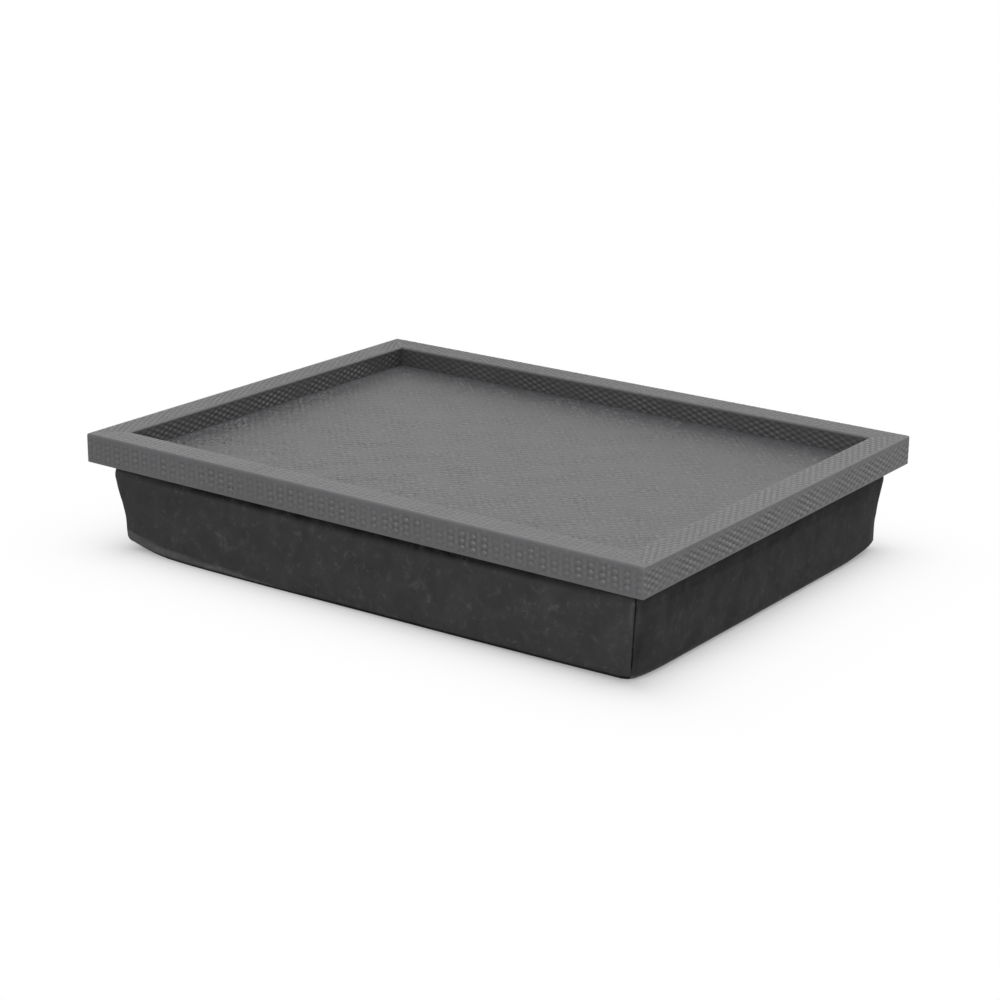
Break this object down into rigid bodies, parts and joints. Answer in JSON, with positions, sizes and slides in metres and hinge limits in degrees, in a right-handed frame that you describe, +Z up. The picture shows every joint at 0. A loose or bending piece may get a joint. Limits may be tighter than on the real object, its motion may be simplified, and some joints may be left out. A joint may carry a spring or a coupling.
{
  "type": "bed tray",
  "caption": "Leather-covered bed tray with a raised mitred rim, held by hook-and-loop strips on a bean cushion with a zipped suede cover.",
  "frame": {"origin": "on the floor under the middle of the cushion", "axes": "+X along the tray's long side, -Y the long side that faces whoever uses it, +Z up"},
  "size_m": [0.55, 0.42, 0.1],
  "materials": {
    "rail_wood": "satin",
    "plywood": "satin",
    "woven_leather": "satin",
    "lining_felt": "matte",
    "screw_steel": "satin",
    "hook_tape": "matte",
    "loop_tape": "matte",
    "suede_cloth": "matte",
    "cotton_drill": "matte",
    "calico": "matte",
    "beads": "matte",
    "zip_tape": "matte",
    "zip_coil": "satin",
    "zip_metal": "satin"
  },
  "bodies": {
    "cushion": {"cover_front_panel": "suede_cloth", "cover_right_panel": "suede_cloth", "cover_back_panel": "suede_cloth", "cover_left_panel": "suede_cloth", "cover_bottom_panel": "suede_cloth", "cover_top_panel": "cotton_drill", "liner_tub": "calico", "liner_lid": "calico", "bead_filling": "beads", "loop_strip_front": "loop_tape", "loop_strip_right": "loop_tape", "loop_strip_back": "loop_tape", "loop_strip_left": "loop_tape", "zip_tape_front": "zip_tape", "zip_tape_back": "zip_tape", "zip_coil_front": "zip_coil", "zip_coil_back": "zip_coil", "zip_bottom_stop": "zip_metal", "zip_top_stop": "zip_metal"},
    "tray": {"rail_core_front": "rail_wood", "rail_core_right": "rail_wood", "rail_core_back": "rail_wood", "rail_core_left": "rail_wood", "mitre_key_front_right": "rail_wood", "mitre_key_right_back": "rail_wood", "mitre_key_back_left": "rail_wood", "mitre_key_left_front": "rail_wood", "rail_leather_front": "woven_leather", "rail_leather_right": "woven_leather", "rail_leather_back": "woven_leather", "rail_leather_left": "woven_leather", "panel_leather": "woven_leather", "base_panel": "plywood", "underside_lining": "lining_felt", "panel_screw_front_1": "screw_steel", "panel_screw_front_2": "screw_steel", "panel_screw_front_3": "screw_steel", "panel_screw_front_4": "screw_steel", "panel_screw_right_1": "screw_steel", "panel_screw_right_2": "screw_steel", "panel_screw_right_3": "screw_steel", "panel_screw_back_1": "screw_steel", "panel_screw_back_2": "screw_steel", "panel_screw_back_3": "screw_steel", "panel_screw_back_4": "screw_steel", "panel_screw_left_1": "screw_steel", "panel_screw_left_2": "screw_steel", "panel_screw_left_3": "screw_steel", "hook_strip_front": "hook_tape", "hook_strip_right": "hook_tape", "hook_strip_back": "hook_tape", "hook_strip_left": "hook_tape"},
    "zip_runner": {"zip_slider": "zip_metal", "zip_pull": "zip_metal"}
  },
  "joints": [
    {"name": "tray_lift", "type": "slide", "parent": "cushion", "child": "tray", "axis": [0, 0, 1], "range_m": [0, 0.12]},
    {"name": "zip_run", "type": "slide", "parent": "cushion", "child": "zip_runner", "axis": [-1, 0, 0], "range_m": [0, 0.291]}
  ]
}
